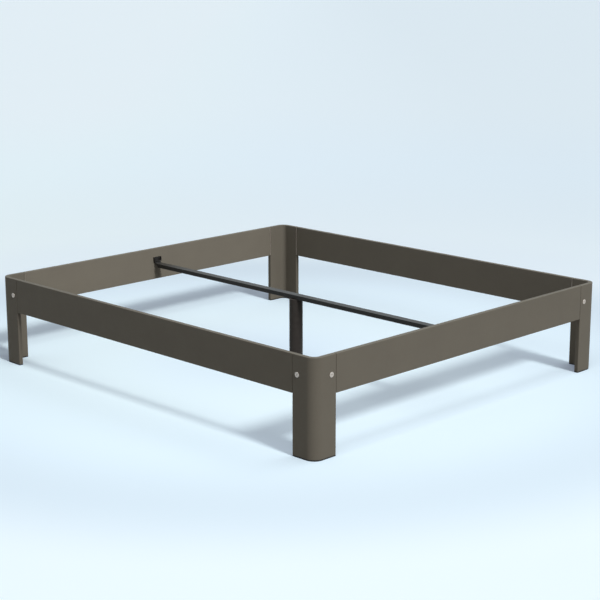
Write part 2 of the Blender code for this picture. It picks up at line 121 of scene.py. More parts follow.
def add_lamp(name, kind, strength, colour=(1.0, 1.0, 1.0)):
    """A lamp of one kind, ready to be put in its place."""
    lamp = bpy.data.lights.new(name, kind)
    lamp.energy = strength
    lamp.color = colour
    holder = bpy.data.objects.new(name, lamp)
    scene_objects.link(holder)
    return holder


main_lamp = add_lamp("main_lamp", "SUN", MAIN_LAMP_STRENGTH, MAIN_LAMP_COLOUR)
main_lamp.data.angle = MAIN_LAMP_SOFTNESS
main_lamp.rotation_euler = Vector(MAIN_LAMP_TOWARD).to_track_quat("Z", "Y").to_euler()
light_box = add_lamp("light_box", "AREA", LIGHT_BOX_STRENGTH)
light_box.data.shape = "RECTANGLE"
light_box.data.size = LIGHT_BOX_LENGTH
light_box.data.size_y = LIGHT_BOX_WIDTH
light_box.location = LIGHT_BOX_PLACE
ceiling = add_lamp("ceiling", "SUN", CEILING_STRENGTH)
ceiling.data.angle = CEILING_SOFTNESS

# %% [markdown]
# ## Nodes
# The look of the room and of every surface comes out of a network of nodes. A node's input is
# either set to a value or linked to what another node gives, and one function does both.

# %% Node helpers
def feed(tree, node, inputs):
    """Set a node's inputs, or link those whose value comes out of another node."""
    for name, value in inputs.items():
        if isinstance(value, bpy.types.NodeSocket):
            tree.links.new(value, node.inputs[name])
        else:
            node.inputs[name].default_value = value
    return node


def vector_math(tree, operation, *values):
    """A node that does one sum with vectors."""
    node = tree.nodes.new("ShaderNodeVectorMath")
    node.operation = operation
    return feed(tree, node, dict(enumerate(values)))


def map_range(tree, value, spread, onto=(0.0, 1.0), smooth=False):
    """A value carried over from one range to another, and kept inside it."""
    node = tree.nodes.new("ShaderNodeMapRange")
    if smooth:
        node.interpolation_type = "SMOOTHSTEP"
    ends = zip(("From Min", "From Max", "To Min", "To Max"), (*spread, *onto))
    return feed(tree, node, {"Value": value, **dict(ends)}).outputs["Result"]


def new_material(name):
    """An empty material, its tree and its shader."""
    material = bpy.data.materials.new(name)
    material.use_nodes = True
    return material, material.node_tree, material.node_tree.nodes["Principled BSDF"]


print("materials so far:", len(bpy.data.materials))

# %% [markdown]
# ## Surroundings
# A studio's pale backdrop looks nearly white to the camera and in reflections, but it shouldn't
# flood the bed with light. The Light Path node tells the two apart: camera, glossy and
# transmission rays get the pale colour, and every other ray gets the plain light of the room.

# %% World and seen-directly switch
BACKDROP_COLOUR = (0.735, 0.843, 0.912, 1.0)
ROOM_LIGHT = (0.308, 0.308, 0.311, 1.0)


def seen_directly(tree):
    """A socket that is 1 for camera, glossy and transmission rays, and 0 for other rays."""
    path = tree.nodes.new("ShaderNodeLightPath")
    highest = None
    for ray in ("Is Camera Ray", "Is Glossy Ray", "Is Transmission Ray"):
        if highest is None:
            highest = path.outputs[ray]
            continue
        larger = tree.nodes.new("ShaderNodeMath")
        larger.operation = "MAXIMUM"
        tree.links.new(highest, larger.inputs[0])
        tree.links.new(path.outputs[ray], larger.inputs[1])
        highest = larger.outputs[0]
    return highest


def switch_colour(tree, factor, hidden, shown):
    """A colour that is hidden where the factor is 0 and shown where it is 1."""
    mix = tree.nodes.new("ShaderNodeMix")
    mix.data_type = "RGBA"
    feed(tree, mix, {"Factor": factor, "A": hidden, "B": shown})
    return mix.outputs["Result"]


world = bpy.data.worlds.new("studio")
world.use_nodes = True
bpy.context.scene.world = world
tree = world.node_tree
colour = switch_colour(tree, seen_directly(tree), ROOM_LIGHT, BACKDROP_COLOUR)
feed(tree, tree.nodes["Background"], {"Color": colour})
bpy.context.scene.view_settings.view_transform = "Standard"
print("room light", ROOM_LIGHT[:3], "backdrop", BACKDROP_COLOUR[:3])

# %% [markdown]
# ## The floor
# One wide disc. Under the bed its colour is a bright, slightly blue white, a painted pool of
# light, and round it a painted soft shadow makes it a shade darker. Further out it takes on the
# backdrop's colour, so the horizon hardly shows. A colour ramp over the distance does that. The
# studio was a little brighter on the left, so the ramp's colour is dimmed towards the right as
# well, which is painted light too. A faint bluish glow of the floor's own, which only the camera
# and reflections see, brings its hue to the backdrop's. The floor is matt, and it keeps the
# bed's shadows.

# %% Floor
FLOOR_RADIUS = 60.0
FLOOR_SIDES = 96
FLOOR_CENTRE = (0.0, 0.2, 0.0)
# painted light and shade: lighter where a pool of light is painted under the bed, darker at 2 m
# where a soft shadow is painted round it
FLOOR_COLOUR_AND_PAINTED_LIGHT = [  # distance from the centre in metres, and the floor's colour there
    (0.0, 0.712, 0.865, 0.96), (0.8, 0.781, 0.944, 1.0), (1.4, 0.76, 0.924, 1.0),
    (2.0, 0.683, 0.825, 0.896), (2.6, 0.808, 0.938, 0.987), (3.4, 0.832, 0.962, 1.0),
    (12.0, 0.87, 0.981, 0.992)]
FLOOR_DIMS_TOWARD = (0.707, -0.707, 0.0)
FLOOR_DIMS_OVER = 2.3  # metres to either side of the middle
# painted light: how much the floor's colour is dimmed from the left to the right
FLOOR_PAINTED_DIMMING = 0.035
FLOOR_BOUNCE_COLOUR = (0.25, 0.243, 0.228, 1.0)
FLOOR_GLOW = [(0.008, 0.0, 0.036, 1.0), (0.018, 0.038, 0.103, 1.0)]  # near and far
GLOW_CHANGES = (2.0, 7.0)  # from near to far, in metres from the centre
BLACK = (0.0, 0.0, 0.0, 1.0)


def ring_colour(tree, distance):
    """The colour, painted light and shade included, at a distance from the centre."""
    reach = FLOOR_COLOUR_AND_PAINTED_LIGHT[-1][0]
    rings = tree.nodes.new("ShaderNodeValToRGB")
    rings.color_ramp.interpolation = "EASE"
    stops = rings.color_ramp.elements
    for number, (start, *paint) in enumerate(FLOOR_COLOUR_AND_PAINTED_LIGHT):
        stop = stops[number] if number < 2 else stops.new(1.0)
        stop.position, stop.color = start / reach, (*paint, 1.0)
    return feed(tree, rings, {"Fac": map_range(tree, distance, (0.0, reach))}).outputs["Color"]


def floor_material():
    """Pale blue white rings with painted light and shade round the bed, out to the backdrop's colour
    and glow.
    """
    material, tree, shader = new_material("studio_floor")
    place = tree.nodes.new("ShaderNodeTexCoord").outputs["Object"]
    distance = vector_math(tree, "DISTANCE", place, FLOOR_CENTRE).outputs["Value"]
    along = vector_math(tree, "DOT_PRODUCT", place, FLOOR_DIMS_TOWARD).outputs["Value"]
    # painted light: the rings' colour is dimmed from the left to the right
    slope = map_range(tree, along, (-FLOOR_DIMS_OVER, FLOOR_DIMS_OVER),
                      (1 + FLOOR_PAINTED_DIMMING, 1 - FLOOR_PAINTED_DIMMING))
    dimmed = tree.nodes.new("ShaderNodeMix")
    dimmed.data_type, dimmed.blend_type, dimmed.clamp_result = "RGBA", "MULTIPLY", True
    feed(tree, dimmed, {"Factor": 1.0, "A": ring_colour(tree, distance), "B": slope})
    colour = switch_colour(tree, seen_directly(tree), FLOOR_BOUNCE_COLOUR, dimmed.outputs["Result"])
    glow = switch_colour(tree, map_range(tree, distance, GLOW_CHANGES, smooth=True), *FLOOR_GLOW)
    glow = switch_colour(tree, seen_directly(tree), BLACK, glow)
    feed(tree, shader, {"Base Color": colour, "Roughness": 1.0, "Specular IOR Level": 0.0,
                        "Emission Color": glow, "Emission Strength": 1.0})
    return material


around = np.linspace(0, 2 * math.pi, FLOOR_SIDES, endpoint=False)
rim = np.stack([np.cos(around), np.sin(around), 0 * around], axis=1) * FLOOR_RADIUS
floor_mesh = bpy.data.meshes.new("floor")
floor_mesh.from_pydata(rim.tolist(), [], [list(range(len(rim)))])
floor = bpy.data.objects.new("floor", floor_mesh)
floor.data.materials.append(floor_material())
scene_objects.link(floor)
print("the floor is", 2 * FLOOR_RADIUS, "m wide")

# %% [markdown]
# ## Surfaces from patches
# Every finished piece is made of patches. A patch is a set of faces with the same number of
# corners, and each corner carries a point and the direction that the smooth surface faces
# there. Because that direction comes from the shape's formula, flat boards stay perfectly flat
# and rounded edges perfectly round, however few faces they have.

# %% Patches
def turned_out(points, normals):
    """Reverse each face whose corners run the wrong way round for its normals.

    The way round is the sum of the cross products of neighbouring corners, seen from the
    first corner.
    """
    seen = points - points[:, :1]
    way_round = np.cross(seen, np.roll(seen, -1, axis=1)).sum(axis=1)
    wrong = (way_round * normals.sum(axis=1)).sum(axis=1) < 0
    points[wrong] = points[wrong, ::-1]
    normals[wrong] = normals[wrong, ::-1]
    return points, normals


def grid_patch(points, normals):
    """Join a grid of points, and the normals on it, into four-cornered faces."""
    corners = [
        np.stack([g[:-1, :-1], g[:-1, 1:], g[1:, 1:], g[1:, :-1]], axis=2).reshape(-1, 4, 3)
        for g in (points, np.broadcast_to(normals, points.shape))
    ]
    return turned_out(*corners)


def flat_patch(outline, normal, holes=()):
    """A flat face inside an outline, with holes left open in it, cut into triangles."""
    loops = [np.asarray(loop, float) for loop in (outline, *holes)]
    thirds = tessellate_polygon([[Vector(point) for point in loop] for loop in loops])
    points = np.concatenate(loops)[np.array(thirds)]
    normals = np.broadcast_to(np.asarray(normal, float), points.shape).copy()
    return turned_out(points, normals)


def swapped(patches, order=(0, 1, 2), signs=(1, 1, 1)):
    """The patches with their axes in another order or turned round, as in a mirror."""
    return [turned_out(p[..., order] * signs, n[..., order] * signs) for p, n in patches]


corner_square = np.array([(0.0, 0.0, 0.0), (1.0, 0.0, 0.0), (1.0, 1.0, 0.0), (0.0, 1.0, 0.0)])
print("a square with a square hole takes",
      len(flat_patch(3 * corner_square, (0, 0, 1), [corner_square + (1, 1, 0)])[0]), "triangles")

# %% [markdown]
# ## Welding patches into a piece
# Patches that meet share the points of their common edge, so a piece is closed once equal
# points are merged. We do that in one go with numpy: points that round to the same micrometre
# become one vertex, and a face that loses a corner that way keeps the others. The check counts
# the edges that don't join exactly two faces. There should be none.
#
# The pattern on a turned bolt follows the bolt's own axis, so each vertex also remembers where
# it was before the piece was put in its place. Materials read that as the attribute "maker".

# %% Weld and place
WELD_GRID = 1e-6
NO_TURN = np.identity(3)


def turn_about(axis, degrees):
    """The matrix of a right-handed turn about axis 0, 1 or 2."""
    angle = math.radians(degrees)
    turn = np.identity(3)
    a, b = (axis + 1) % 3, (axis + 2) % 3
    turn[a, a] = turn[b, b] = math.cos(angle)
    turn[a, b] = -math.sin(angle)
    turn[b, a] = math.sin(angle)
    return turn


def weld(name, patches, turn, move):
    """One mesh from patches: merge equal points, drop lost corners, and set the normals."""
    points = np.concatenate([p.reshape(-1, 3) for p, _ in patches])
    normals = np.concatenate([n.reshape(-1, 3) for _, n in patches])
    sizes = np.concatenate([np.full(len(p), p.shape[1]) for p, _ in patches])
    keys = np.round(points / WELD_GRID).astype(np.int64)
    _, first, vertex = np.unique(keys, axis=0, return_index=True, return_inverse=True)
    vertex = vertex.ravel()
    face = np.repeat(np.arange(len(sizes)), sizes)
    starts = np.cumsum(sizes) - sizes
    following = np.arange(len(vertex)) + 1
    following[starts + sizes - 1] = starts
    kept = vertex != vertex[following]
    kept &= np.bincount(face[kept], minlength=len(sizes))[face] > 2
    vertex, normals = vertex[kept], normals[kept]
    sizes = np.bincount(face[kept])
    sizes = sizes[sizes > 0]

    mesh = bpy.data.meshes.new(name)
    mesh.vertices.add(len(first))
    mesh.loops.add(len(vertex))
    mesh.polygons.add(len(sizes))
    mesh.vertices.foreach_set("co", (points[first] @ turn.T + move).ravel())
    mesh.loops.foreach_set("vertex_index", vertex)
    mesh.polygons.foreach_set("loop_start", np.cumsum(sizes) - sizes)
    maker = mesh.attributes.new("maker", "FLOAT_VECTOR", "POINT")
    maker.data.foreach_set("vector", points[first].ravel())
    mesh.update(calc_edges=True)
    mesh.shade_smooth()
    mesh.normals_split_custom_set((normals @ turn.T).tolist())
    return mesh


def open_edges(mesh):
    """How many edges of a mesh don't join exactly two faces."""
    edges = np.empty(len(mesh.loops), np.int32)
    mesh.loops.foreach_get("edge_index", edges)
    return int((np.bincount(edges, minlength=len(mesh.edges)) != 2).sum())


def finish_node(node, patches, material, turn=NO_TURN, move=(0, 0, 0), body="bed_frame"):
    """Show patches in place of a CAD node, and print how well the two boxes agree."""
    mesh = weld(f"finished_{node}", patches, turn, np.array(move, float))
    piece = bpy.data.objects.new(f"finished_{node}", mesh)
    piece.data.materials.append(material)
    scene_objects.link(piece)
    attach(piece, body)
    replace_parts(piece, node)
    low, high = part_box(node)
    own = np.array([corner[:] for corner in piece.bound_box])
    apart = 1000 * max(abs(own.min(0) - low).max(), abs(own.max(0) - high).max())
    print(f"{node}: {len(mesh.polygons)} faces, {open_edges(mesh)} open edges, {apart:.2f} mm off")
    return piece


print("a quarter turn about Z takes X to", np.round(turn_about(2, 90) @ (1, 0, 0)).tolist())

# %% [markdown]
# ## Paths with eased corners
# Boards and turned pieces both start as a path on paper: straight lines with an arc at each
# corner. Along the arc the outward direction turns evenly from one line's to the next line's.
# Where the lines turn by an angle t, an arc of radius r starts r tan(t / 2) before the corner.

# %% Eased paths
ARC_STEPS = 8


def eased_path(corners, eases, closed=True):
    """Points and outward normals along a path, with an arc of the given radius at each corner.

    The path runs counterclockwise, so outwards is to its right. Each corner gives ARC_STEPS + 1
    points. An open path starts and ends with one plain point.
    """
    corners = np.asarray(corners, float)
    ways = np.roll(corners, -1, axis=0) - corners
    if not closed:
        ways[-1] = ways[-2]
    ways /= np.linalg.norm(ways, axis=1, keepdims=True)
    points, normals = [], []
    for index, (corner, ease) in enumerate(zip(corners, eases)):
        way_in, way_out = ways[index - 1], ways[index]
        if not closed and index in (0, len(corners) - 1):
            points.append(corner[None])
            normals.append(np.array([[way_out[1], -way_out[0]]]))
            continue
        bend = math.atan2(way_in[0] * way_out[1] - way_in[1] * way_out[0], way_in @ way_out)
        angle = math.atan2(-way_in[0], way_in[1]) + bend * np.linspace(0, 1, ARC_STEPS + 1)
        facing = np.stack([np.cos(angle), np.sin(angle)], axis=1)
        reach = math.copysign(ease, bend)
        start = corner - way_in * ease * math.tan(abs(bend) / 2)
        points.append(start + reach * (facing - facing[0]))
        normals.append(facing)
    return np.concatenate(points), np.concatenate(normals)


print("an eased square has", len(eased_path(corner_square[:, :2], [0.1] * 4)[0]), "points")

# %% [markdown]
# ## Walls with openings
# A board's long faces are the flat stretches between two arcs of its outline. Where a slot or a
# bolt enters one, that stretch is made as a flat face with holes, and the hole's own walls are
# further patches. A recess has flat walls and a flat floor, and a bore has a round wall.

# %% Walls, recesses and bores
ROUND_SIDES = 48


def walls(low, high, facing, holes=None):
    """The strip between two copies of a closed outline, with openings in some of its flats.

    holes maps the number of a corner to the openings in the flat stretch after that corner.
    """
    holes = holes or {}
    strip = np.stack([low, high])
    facings = np.stack([facing, facing])
    patches = []
    start = 0
    for corner in sorted(holes):
        end = (corner + 1) * (ARC_STEPS + 1) - 1
        patches.append(grid_patch(strip[:, start : end + 1], facings[:, start : end + 1]))
        sheet = [strip[0, end], strip[0, end + 1], strip[1, end + 1], strip[1, end]]
        patches.append(flat_patch(sheet, facing[end], holes[corner]))
        start = end + 1
    if start < len(low) - 1:
        patches.append(grid_patch(strip[:, start:], facings[:, start:]))
    return patches


def looped(rows):
    """Repeat the first point of each row at its end, which closes the row."""
    return np.concatenate([rows, rows[..., :1, :]], axis=-2)


def ring(centre, radius, facing):
    """Points on a circle round a centre. It is square to facing, which is along an axis."""
    across = np.roll(np.asarray(facing, float), 1)
    along = np.cross(facing, across)
    angle = np.linspace(0, 2 * math.pi, ROUND_SIDES, endpoint=False)[:, None]
    return np.asarray(centre, float) + radius * (np.cos(angle) * across + np.sin(angle) * along)


def round_wall(mouth, inner_end):
    """The wall between two rings on one axis, facing that axis."""
    rings = np.stack([mouth, inner_end])
    inward = rings.mean(axis=1, keepdims=True) - rings
    inward /= np.linalg.norm(inward, axis=2, keepdims=True)
    return grid_patch(looped(rings), looped(inward))


def blind_bore(mouth, depth):
    """A round wall from a ring down to a flat floor, depth being a vector."""
    depth = np.asarray(depth, float)
    floor = mouth + depth
    return [round_wall(mouth, floor), flat_patch(floor, -depth / np.linalg.norm(depth))]


def recess(mouth, depth, holes=None):
    """Flat walls from each side of the mouth's outline down to a flat floor.

    holes maps the number of a wall to the openings in it.
    """
    holes = holes or {}
    depth = np.asarray(depth, float)
    floor = mouth + depth
    patches = [flat_patch(floor, -depth / np.linalg.norm(depth))]
    centre = (mouth.mean(axis=0) + floor.mean(axis=0)) / 2
    for side in range(len(mouth)):
        after = (side + 1) % len(mouth)
        sheet = np.array([mouth[side], mouth[after], floor[after], floor[side]])
        facing = np.cross(mouth[after] - mouth[side], depth)
        facing /= np.linalg.norm(facing)
        facing *= np.sign(facing @ (centre - sheet.mean(axis=0)))
        patches.append(flat_patch(sheet, facing, holes.get(side, ())))
    return patches


bore = blind_bore(ring((0, 0, 0), 1, (0, 0, 1)), (0, 0, -1))
print("a bore of", ROUND_SIDES, "sides has", sum(len(points) for points, _ in bore), "faces")

# %% [markdown]
# ## Boards
# A lacquered board has its edges eased to a small radius all round. Seen from above it is an
# outline, which we carry up from the bottom to the top. Near both ends we draw it in along a
# quarter circle: at the angle a, the outline is smaller all round by r (1 - cos a), and it lies
# r sin a beyond the end of the straight part. What is left at each end is closed with a flat
# face.

# %% Board
def board(corners, eases, low, high, ease, holes=None):
    """An outline carried up from low to high with its ends eased, as patches."""
    points, normals = [looped(row) for row in eased_path(corners, eases)]
    angle = np.radians(np.linspace(0, 90, ARC_STEPS + 1))[:, None, None]
    level = np.cos(angle) * normals
    drawn_in = points - ease * (1 - np.cos(angle)) * normals
    patches = []
    for way, end in ((-1, low), (1, high)):
        height = end + way * ease * (np.sin(angle) - 1)
        skin = np.concatenate([drawn_in, np.broadcast_to(height, drawn_in.shape[:2] + (1,))], axis=2)
        upward = np.broadcast_to(way * np.sin(angle), drawn_in.shape[:2] + (1,))
        patches.append(grid_patch(skin, np.concatenate([level, upward], axis=2)))
        patches.append(flat_patch(skin[-1, :-1], (0, 0, way)))
    foot, head = [np.insert(points, 2, height, axis=1) for height in (low + ease, high - ease)]
    return patches + walls(foot, head, np.insert(normals, 2, 0, axis=1), holes)


print("a plain board has",
      sum(len(p) for p, _ in board(corner_square[:, :2], [0.1] * 4, 0, 1, 0.1)), "faces")

# %% [markdown]
# ## Uneven surfaces
# No real surface has quite the same colour and sheen all over, and none is dead flat. So each
# material drifts between two tones and two values of roughness, and a bump gives it a fine
# relief. One noise texture for each of the three is enough, all on the piece's own coordinates
# in metres, so a scale of 600 means features of about 2 mm.

# %% Uneven materials
NOISE_SPREAD = (0.3, 0.7)  # which noise hardly ever leaves


def noise(tree, scale, detail):
    """A noise value on the object's own coordinates."""
    place = tree.nodes.new("ShaderNodeTexCoord").outputs["Object"]
    texture = tree.nodes.new("ShaderNodeTexNoise")
    return feed(tree, texture, {"Vector": place, "Scale": scale, "Detail": detail}).outputs[0]


def uneven_material(name, tones, tone_noise, roughness, sheen_noise, relief, relief_noise,
                    levels, pattern=noise):
    """A material whose tone, roughness and relief each follow a noise.

    A noise is given as its scale and detail, the relief as its strength and distance, and the
    levels are inputs that are the same all over. Tone and relief take the pattern's noise.
    """
    material, tree, shader = new_material(name)
    tone = map_range(tree, pattern(tree, *tone_noise), NOISE_SPREAD)
    dark, light = [(*paint, 1.0) for paint in tones]
    bump = feed(tree, tree.nodes.new("ShaderNodeBump"), {
        "Strength": relief[0], "Distance": relief[1], "Height": pattern(tree, *relief_noise)})
    feed(tree, shader, {
        "Base Color": switch_colour(tree, tone, dark, light),
        "Roughness": map_range(tree, noise(tree, *sheen_noise), NOISE_SPREAD, roughness),
        "Normal": bump.outputs["Normal"], **levels})
    return material


print("noise between", NOISE_SPREAD, "is spread over each pair of tones")

# %% [markdown]
# ## Lacquer
# The boards have a satin lacquer the colour of wet taupe stone, with no grain showing through.
# A spray finish has a faint orange peel a millimetre or two across, its tone drifts by a hair
# over a hand's width, and its sheen varies where it was rubbed. The rear rail gets a lighter
# copy of the lacquer, which is painted light for the extra light on its inner face.

# %% Lacquer
LACQUER_TONES = ((0.144, 0.131, 0.107), (0.152, 0.139, 0.113))
# painted light: how much lighter the rear rail's lacquer is, for the extra light on its inner face
REAR_RAIL_PAINTED_LIGHT = 1.17


def lacquer_material(name, lightness=1.0):
    """Satin taupe lacquer, with its two tones times a lightness; above 1 that is painted light."""
    tones = [[lightness * part for part in tone] for tone in LACQUER_TONES]
    return uneven_material(
        name, tones, tone_noise=(7.0, 3.0), roughness=(0.50, 0.60), sheen_noise=(40.0, 4.0),
        relief=(0.06, 0.0004), relief_noise=(600.0, 2.0), levels={"Specular IOR Level": 0.09})


lacquer = lacquer_material("satin_taupe_lacquer")
# painted light: a lighter copy of the lacquer for the rear rail's inner face
lacquer_with_painted_light = lacquer_material("taupe_lacquer_with_painted_light", REAR_RAIL_PAINTED_LIGHT)
print("lacquer between", *LACQUER_TONES)

# %% [markdown]
# ## The corner legs
# Each leg is one board bent to an L, and the rails carry on in line with its two sides. Drawn
# from above it is six corners: a wide curve outside, the same curve less the thickness inside,
# and a small easing on the four edges of its two ends. Both ends have a slot for a steel tongue,
# and a bolt comes through the outer face to clamp it.

# %% Corner legs
THICKNESS = 0.020
EASING = 0.0025
FLANGE = 0.121
OUTER_RADIUS = 0.045
FRAME_TOP = 0.418
LEG_BOTTOM = 0.0043
RAIL_MIDDLE = 0.338
SLOT_WIDTH = 0.0056
SLOT_HEIGHT = 0.0706
SLOT_IN_LEG = 0.0463
BOLT_FROM_CORNER = 0.094
BOLT_BORE = 0.0043
SWAP = (1, 0, 2)


def slot_mouth(end, middle):
    """The four corners of a tongue's slot in the board end at x = end."""
    near, far = (THICKNESS - SLOT_WIDTH) / 2, (THICKNESS + SLOT_WIDTH) / 2
    low, high = middle - SLOT_HEIGHT / 2, middle + SLOT_HEIGHT / 2
    return np.array([(end, near, low), (end, far, low), (end, far, high), (end, near, high)])


def corner_leg():
    """A corner leg with its outer corner on the Z axis and its sides along +X and +Y."""
    inner = THICKNESS
    corners = [(0, 0), (FLANGE, 0), (FLANGE, inner), (inner, inner), (inner, FLANGE), (0, FLANGE)]
    eases = [OUTER_RADIUS, EASING, EASING, OUTER_RADIUS - THICKNESS, EASING, EASING]
    slot = slot_mouth(FLANGE, RAIL_MIDDLE)
    bore = ring((BOLT_FROM_CORNER, 0, RAIL_MIDDLE), BOLT_BORE, (0, 1, 0))
    bore_end = bore + (0, slot[0, 1], 0)
    side = [round_wall(bore, bore_end), *recess(slot, (-SLOT_IN_LEG, 0, 0), {3: [bore_end]})]
    holes = {0: [bore], 1: [slot], 4: [slot[:, SWAP]], 5: [bore[:, SWAP]]}
    skin = board(corners, eases, LEG_BOTTOM, FRAME_TOP, EASING, holes)
    return skin + side + swapped(side, SWAP)


HALF_WIDTH = 0.94
HALF_LENGTH = 1.04
CORNERS = {  # how the leg made above is turned to stand at each corner, and where it stands
    corner: (turn_about(2, degrees), np.array((side_x * HALF_WIDTH, side_y * HALF_LENGTH, 0)))
    for corner, side_x, side_y, degrees in (("front_left", -1, -1, 0), ("front_right", 1, -1, 90),
                                            ("rear_right", 1, 1, 180), ("rear_left", -1, 1, 270))}

for corner, (turn, foot) in CORNERS.items():
    finish_node(f"leg_{corner}", corner_leg(), lacquer, turn, foot)

# %% [markdown]
# ## The rails
# A rail is the same board, straight, with a slot in both ends. It stops 1.2 mm short of the
# legs, and with the two eased edges beside it that gap draws the fine line at each joint. The
# front and rear rails also have two small blind holes for the screws of the beam's hanger.

# %% Rails
SEAM = 0.0012
RAIL_HEIGHT = 0.160
SLOT_IN_RAIL = 0.0603
SCREW_BORE = 0.0024
SCREW_SPACING = 0.024
SCREW_RISE = 0.362
SCREW_DEPTH = 0.013


def rail(length, screws=()):
    """A rail along X with its outer face at y = 0, its middle at the origin."""
    half = length / 2
    corners = [(-half, 0), (half, 0), (half, THICKNESS), (-half, THICKNESS)]
    slot = slot_mouth(half, 0)
    end = recess(slot, (-SLOT_IN_RAIL, 0, 0))
    mirror = (-1, 1, 1)
    bores = [ring((x, THICKNESS, SCREW_RISE - RAIL_MIDDLE), SCREW_BORE, (0, 1, 0)) for x in screws]
    holes = {1: [slot], 2: bores, 3: [slot * mirror]}
    skin = board(corners, [EASING] * 4, -RAIL_HEIGHT / 2, RAIL_HEIGHT / 2, EASING, holes)
    for bore in bores:
        skin += blind_bore(bore, (0, -SCREW_DEPTH, 0))
    return skin + end + swapped(end, signs=mirror)


short_rail = rail(2 * (HALF_WIDTH - FLANGE - SEAM), (-SCREW_SPACING / 2, SCREW_SPACING / 2))
long_rail = rail(2 * (HALF_LENGTH - FLANGE - SEAM))
finish_node("front_rail", short_rail, lacquer, NO_TURN, (0, -HALF_LENGTH, RAIL_MIDDLE))
finish_node("right_rail", long_rail, lacquer, turn_about(2, 90), (HALF_WIDTH, 0, RAIL_MIDDLE))
# the rear rail's lacquer has painted light in it, for the extra light on its inner face
finish_node("rear_rail", short_rail, lacquer_with_painted_light, turn_about(2, 180),
            (0, HALF_LENGTH, RAIL_MIDDLE))
finish_node("left_rail", long_rail, lacquer, turn_about(2, 270), (-HALF_WIDTH, 0, RAIL_MIDDLE))

# %% [markdown]
# ## Moulded plastic
# The pads, the plug and the foot are moulded in black plastic. Moulds for such parts are eroded
# by sparks, which leaves a fine and even grain in the bump, and little else.

# %% Plastic and the pads under the legs
plastic = uneven_material(
    "moulded_black_plastic", [(0.010, 0.010, 0.010), (0.014, 0.014, 0.015)],
    tone_noise=(90.0, 3.0), roughness=(0.50, 0.66), sheen_noise=(300.0, 2.0),
    relief=(0.25, 0.0001), relief_noise=(2400.0, 1.0), levels={"Specular IOR Level": 0.4})
PAD_THICKNESS = 0.004
PAD_INSET = 0.0005
PAD_EASING = 0.0006


def leg_pad():
    """The leg's own outline, drawn in a little all round, as a thin pad."""
    near, inner, far = PAD_INSET, THICKNESS - PAD_INSET, FLANGE - PAD_INSET
    corners = [(near, near), (far, near), (far, inner), (inner, inner), (inner, far), (near, far)]
    outside, inside = OUTER_RADIUS - PAD_INSET, OUTER_RADIUS - THICKNESS + PAD_INSET
    eases = [outside, PAD_EASING, PAD_EASING, inside, PAD_EASING, PAD_EASING]
    return board(corners, eases, 0, PAD_THICKNESS, PAD_EASING)


for corner, (turn, foot) in CORNERS.items():
    finish_node(f"leg_pad_{corner}", leg_pad(), plastic, turn, foot)

# %% [markdown]
# ## Turned pieces
# Bolts, screws, the middle leg and its foot are round. A turned piece is a path of radius and
# height carried once round the axis: the point at the angle a is (r cos a, r sin a, z), and its
# normal turns with it. The path is a closed one where the piece has a hole down its middle.

# %% Turning
def turned(corners, eases, closed=False, sides=ROUND_SIDES):
    """A path of radius and height carried round the Z axis. Returns patches and its last ring."""
    path, facing = eased_path(corners, eases, closed)
    if closed:
        path, facing = looped(path), looped(facing)
    angle = np.append(np.linspace(0, 2 * math.pi, sides, endpoint=False), 0)
    across, along = np.cos(angle)[None, :, None], np.sin(angle)[None, :, None]

    def carried(rows):
        radius, height = rows[:, None, :1], rows[:, None, 1:]
        return np.concatenate([radius * across, radius * along, height + 0 * across], axis=2)

    skin = carried(path)
    return [grid_patch(skin, carried(facing))], skin[-1, :-1]


def hexagon(across_flats, height):
    """The corners of a regular hexagon, given the width across its flats."""
    angle = 2 * math.pi * np.arange(6) / 6
    radius = across_flats / 2 / math.cos(math.pi / 6)
    return np.stack([radius * np.cos(angle), radius * np.sin(angle), np.full(6, height)], axis=1)


print("a hexagon 5 mm across has corners", round(1000 * hexagon(0.005, 0)[0, 0], 2), "mm out")

# %% [markdown]
# ## Bright bolts
# Two bolts clamp the tongues at each corner: flat round heads 22 mm across with a hexagon
# socket, turned from steel and plated. Turning leaves fine rings round the axis, which stretch
# the highlight across them. The rings are a noise in one dimension, the distance from the
# bolt's own axis, so this material reads the attribute "maker".

# %% Plated steel and the connector bolts
def ring_noise(tree, scale, detail):
    """Noise that depends only on the distance from the axis that the piece was turned on."""
    maker = tree.nodes.new("ShaderNodeAttribute")
    maker.attribute_name = "maker"
    flat = vector_math(tree, "MULTIPLY", maker.outputs["Vector"], (1, 1, 0))
    radius = vector_math(tree, "LENGTH", flat.outputs["Vector"]).outputs["Value"]
    texture = tree.nodes.new("ShaderNodeTexNoise")
    texture.noise_dimensions = "1D"
    return feed(tree, texture, {"W": radius, "Scale": scale, "Detail": detail}).outputs[0]


bright_steel = uneven_material(
    "bright_turned_steel", [(0.52, 0.455, 0.40), (0.63, 0.56, 0.495)],
    tone_noise=(2600.0, 3.0), roughness=(0.26, 0.36), sheen_noise=(500.0, 3.0),
    relief=(0.25, 0.00005), relief_noise=(2600.0, 3.0), levels={"Metallic": 0.5},
    pattern=ring_noise)
HEAD_RADIUS = 0.011
HEAD_THICKNESS = 0.0020
SOCKET_ACROSS = 0.005
SOCKET_DEPTH = 0.0038


def connector_bolt():
    """A bolt whose head stands on z = 0, with a hexagon socket in it."""
    shank, tip, flat = 0.004, -0.0125, 0.006
    corners = [(0, tip), (shank, tip), (shank, 0), (HEAD_RADIUS, 0), (HEAD_RADIUS, HEAD_THICKNESS),
               (flat, HEAD_THICKNESS)]
    skin, last = turned(corners, [0, 0.0008, 0, 0.0003, 0.0008, 0])
    socket = hexagon(SOCKET_ACROSS, HEAD_THICKNESS)
    skin.append(flat_patch(last, (0, 0, 1), [socket]))
    return skin + recess(socket, (0, 0, -SOCKET_DEPTH))


